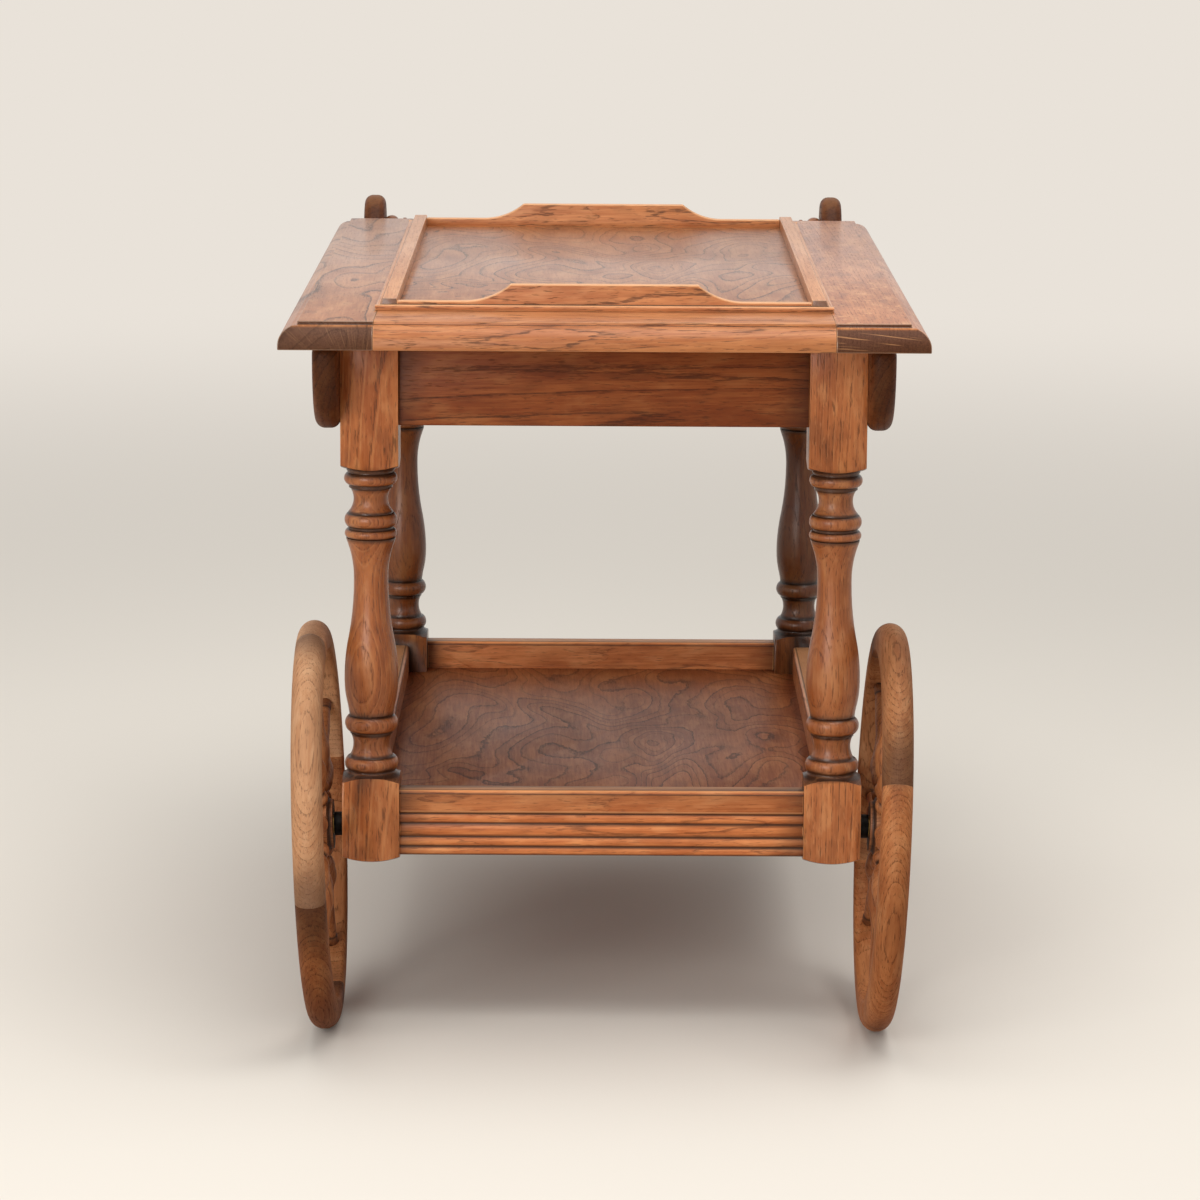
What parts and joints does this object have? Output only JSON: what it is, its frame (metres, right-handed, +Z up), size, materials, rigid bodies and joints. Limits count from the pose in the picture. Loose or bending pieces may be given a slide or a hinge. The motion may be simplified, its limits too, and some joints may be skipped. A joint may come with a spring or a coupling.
{
  "type": "serving trolley",
  "caption": "Two-tier oak serving trolley with turned legs, spoked front wheels, back castors and a push bar between shaped side arms.",
  "frame": {"origin": "middle of the bounding box, on the floor", "axes": "+X to the right seen from the front, +Y from the wheels towards the push bar, +Z up"},
  "size_m": [0.55, 1.0576, 0.6613],
  "materials": {
    "top_wood": "waxed, worn",
    "panel_veneer": "polished burr veneer",
    "gallery_wood": "waxed",
    "leg_wood": "waxed",
    "apron_wood": "waxed",
    "arm_wood": "waxed",
    "bar_wood": "polished by hands",
    "shelf_wood": "waxed",
    "rail_wood": "waxed",
    "wheel_wood": "worn, dry",
    "brass": "aged",
    "iron": "blackened",
    "steel": "dull"
  },
  "bodies": {
    "trolley_frame": {"top_left_board": "top_wood", "top_right_board": "top_wood", "top_front_rail": "top_wood", "top_back_rail": "top_wood", "top_panel": "panel_veneer", "gallery_front": "gallery_wood", "gallery_back": "gallery_wood", "gallery_left_strip": "gallery_wood", "gallery_right_strip": "gallery_wood", "leg_front_left": "leg_wood", "leg_front_right": "leg_wood", "leg_back_left": "leg_wood", "leg_back_right": "leg_wood", "apron_front": "apron_wood", "apron_back": "apron_wood", "apron_left": "apron_wood", "apron_right": "apron_wood", "corner_blocks": "apron_wood", "top_screws": "steel", "handle_arm_left": "arm_wood", "handle_arm_right": "arm_wood", "handle_bar": "bar_wood", "arm_screws": "steel", "arm_pellets": "arm_wood", "shelf_panel": "shelf_wood", "shelf_rail_front": "rail_wood", "shelf_rail_back": "rail_wood", "shelf_rail_left": "rail_wood", "shelf_rail_right": "rail_wood", "shelf_battens": "rail_wood", "shelf_screws": "steel", "axle_left": "iron", "axle_right": "iron", "axle_washers": "iron", "axle_nuts": "iron", "castor_stem_left": "brass", "castor_stem_right": "brass"},
    "left_wheel": {"felloe_left_1": "wheel_wood", "felloe_left_2": "wheel_wood", "felloe_left_3": "wheel_wood", "felloe_left_4": "wheel_wood", "spokes_left": "wheel_wood", "hub_left": "wheel_wood", "bush_left": "brass", "hub_cap_left": "brass"},
    "left_castor_fork": {"castor_fork_left": "brass", "castor_axle_left": "steel"},
    "left_castor_wheel": {"castor_wheel_left": "brass"},
    "right_wheel": {"felloe_right_1": "wheel_wood", "felloe_right_2": "wheel_wood", "felloe_right_3": "wheel_wood", "felloe_right_4": "wheel_wood", "spokes_right": "wheel_wood", "hub_right": "wheel_wood", "bush_right": "brass", "hub_cap_right": "brass"},
    "right_castor_fork": {"castor_fork_right": "brass", "castor_axle_right": "steel"},
    "right_castor_wheel": {"castor_wheel_right": "brass"}
  },
  "joints": [
    {"name": "left_wheel_spin", "type": "hinge", "parent": "trolley_frame", "child": "left_wheel", "pos_m": [-0.24805, -0.3488, 0.17989], "axis": [-0.9994, 0, -0.0359], "continuous": true},
    {"name": "left_castor_swivel", "type": "hinge", "parent": "trolley_frame", "child": "left_castor_fork", "pos_m": [-0.2024, 0.3095, 0.063], "axis": [0, 0, 1], "continuous": true},
    {"name": "left_castor_roll", "type": "hinge", "parent": "left_castor_fork", "child": "left_castor_wheel", "pos_m": [-0.2024, 0.3245, 0.025], "axis": [1, 0, 0], "continuous": true},
    {"name": "right_wheel_spin", "type": "hinge", "parent": "trolley_frame", "child": "right_wheel", "pos_m": [0.24805, -0.3488, 0.17989], "axis": [0.9994, 0, -0.0359], "continuous": true},
    {"name": "right_castor_swivel", "type": "hinge", "parent": "trolley_frame", "child": "right_castor_fork", "pos_m": [0.2024, 0.3095, 0.063], "axis": [0, 0, 1], "continuous": true},
    {"name": "right_castor_roll", "type": "hinge", "parent": "right_castor_fork", "child": "right_castor_wheel", "pos_m": [0.2024, 0.3245, 0.025], "axis": [1, 0, 0], "continuous": true}
  ]
}
